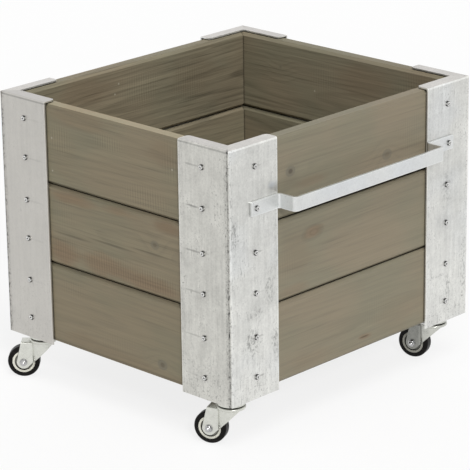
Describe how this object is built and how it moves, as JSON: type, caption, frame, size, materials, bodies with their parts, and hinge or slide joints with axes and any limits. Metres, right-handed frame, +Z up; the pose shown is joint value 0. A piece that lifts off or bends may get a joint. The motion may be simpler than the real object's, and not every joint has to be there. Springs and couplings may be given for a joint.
{
  "type": "rolling planter",
  "caption": "Square wooden planter box with galvanised steel corner posts, a flat-bar handle and swivel castors that each turn and roll.",
  "frame": {"origin": "centre of the outer box on the ground, wheels at rest and handle included", "axes": "+Z up, the handle on the -Y side, +X along the handle to the right seen from the front"},
  "size_m": [0.6229, 0.61, 0.5335],
  "materials": {
    "stained_board": "planed softwood with a grey-brown stain, matt",
    "floor_board": "sawn softwood with a grey-brown stain, matt",
    "galvanised_steel": "hot-dip galvanised, mottled, satin",
    "zinc_plate": "bright zinc plated, satin",
    "screw_steel": "stainless steel, satin",
    "bearing_steel": "plain steel, greased",
    "rim_plastic": "moulded cream plastic, semi-matt",
    "tyre_rubber": "solid black rubber, semi-matt"
  },
  "bodies": {
    "planter": {"post_front_left": "galvanised_steel", "post_front_right": "galvanised_steel", "post_back_left": "galvanised_steel", "post_back_right": "galvanised_steel", "foot_plate_front_left": "galvanised_steel", "foot_plate_front_right": "galvanised_steel", "foot_plate_back_left": "galvanised_steel", "foot_plate_back_right": "galvanised_steel", "board_front_lower": "stained_board", "board_front_middle": "stained_board", "board_front_upper": "stained_board", "board_right_lower": "stained_board", "board_right_middle": "stained_board", "board_right_upper": "stained_board", "board_back_lower": "stained_board", "board_back_middle": "stained_board", "board_back_upper": "stained_board", "board_left_lower": "stained_board", "board_left_middle": "stained_board", "board_left_upper": "stained_board", "floor_bearer_left": "floor_board", "floor_bearer_right": "floor_board", "floor_slat_1": "floor_board", "floor_slat_2": "floor_board", "floor_slat_3": "floor_board", "floor_slat_4": "floor_board", "handle": "galvanised_steel", "panel_screws": "screw_steel", "slat_screws": "screw_steel", "castor_bolts": "zinc_plate", "castor_nuts": "zinc_plate", "castor_plate_front_left": "zinc_plate", "castor_plate_front_right": "zinc_plate", "castor_plate_back_left": "zinc_plate", "castor_plate_back_right": "zinc_plate", "kingpin_front_left": "bearing_steel", "kingpin_front_right": "bearing_steel", "kingpin_back_left": "bearing_steel", "kingpin_back_right": "bearing_steel", "swivel_balls_front_left": "bearing_steel", "swivel_balls_front_right": "bearing_steel", "swivel_balls_back_left": "bearing_steel", "swivel_balls_back_right": "bearing_steel"},
    "castor_fork_front_left": {"fork_front_left": "zinc_plate", "axle_front_left": "zinc_plate"},
    "wheel_front_left": {"rim_front_left": "rim_plastic", "tyre_front_left": "tyre_rubber"},
    "castor_fork_front_right": {"fork_front_right": "zinc_plate", "axle_front_right": "zinc_plate"},
    "wheel_front_right": {"rim_front_right": "rim_plastic", "tyre_front_right": "tyre_rubber"},
    "castor_fork_back_left": {"fork_back_left": "zinc_plate", "axle_back_left": "zinc_plate"},
    "wheel_back_left": {"rim_back_left": "rim_plastic", "tyre_back_left": "tyre_rubber"},
    "castor_fork_back_right": {"fork_back_right": "zinc_plate", "axle_back_right": "zinc_plate"},
    "wheel_back_right": {"rim_back_right": "rim_plastic", "tyre_back_right": "tyre_rubber"}
  },
  "joints": [
    {"name": "swivel_front_left", "type": "hinge", "parent": "planter", "child": "castor_fork_front_left", "pos_m": [-0.26254, -0.22295, 0.0885], "axis": [0, 0, 1], "continuous": true},
    {"name": "swivel_front_right", "type": "hinge", "parent": "planter", "child": "castor_fork_front_right", "pos_m": [0.26646, -0.22295, 0.0885], "axis": [0, 0, 1], "continuous": true},
    {"name": "swivel_back_left", "type": "hinge", "parent": "planter", "child": "castor_fork_back_left", "pos_m": [-0.26254, 0.24605, 0.0885], "axis": [0, 0, 1], "continuous": true},
    {"name": "swivel_back_right", "type": "hinge", "parent": "planter", "child": "castor_fork_back_right", "pos_m": [0.26646, 0.24605, 0.0885], "axis": [0, 0, 1], "continuous": true},
    {"name": "roll_front_left", "type": "hinge", "parent": "castor_fork_front_left", "child": "wheel_front_left", "pos_m": [-0.2769, -0.18994, 0.029], "axis": [-0.9171, -0.3987, 0], "continuous": true},
    {"name": "roll_front_right", "type": "hinge", "parent": "castor_fork_front_right", "child": "wheel_front_right", "pos_m": [0.25653, -0.18835, 0.029], "axis": [-0.9613, -0.2756, 0], "continuous": true},
    {"name": "roll_back_left", "type": "hinge", "parent": "castor_fork_back_left", "child": "wheel_back_left", "pos_m": [-0.2864, 0.27301, 0.029], "axis": [-0.749, -0.6626, 0], "continuous": true},
    {"name": "roll_back_right", "type": "hinge", "parent": "castor_fork_back_right", "child": "wheel_back_right", "pos_m": [0.24738, 0.27658, 0.029], "axis": [-0.848, -0.5299, 0], "continuous": true}
  ]
}
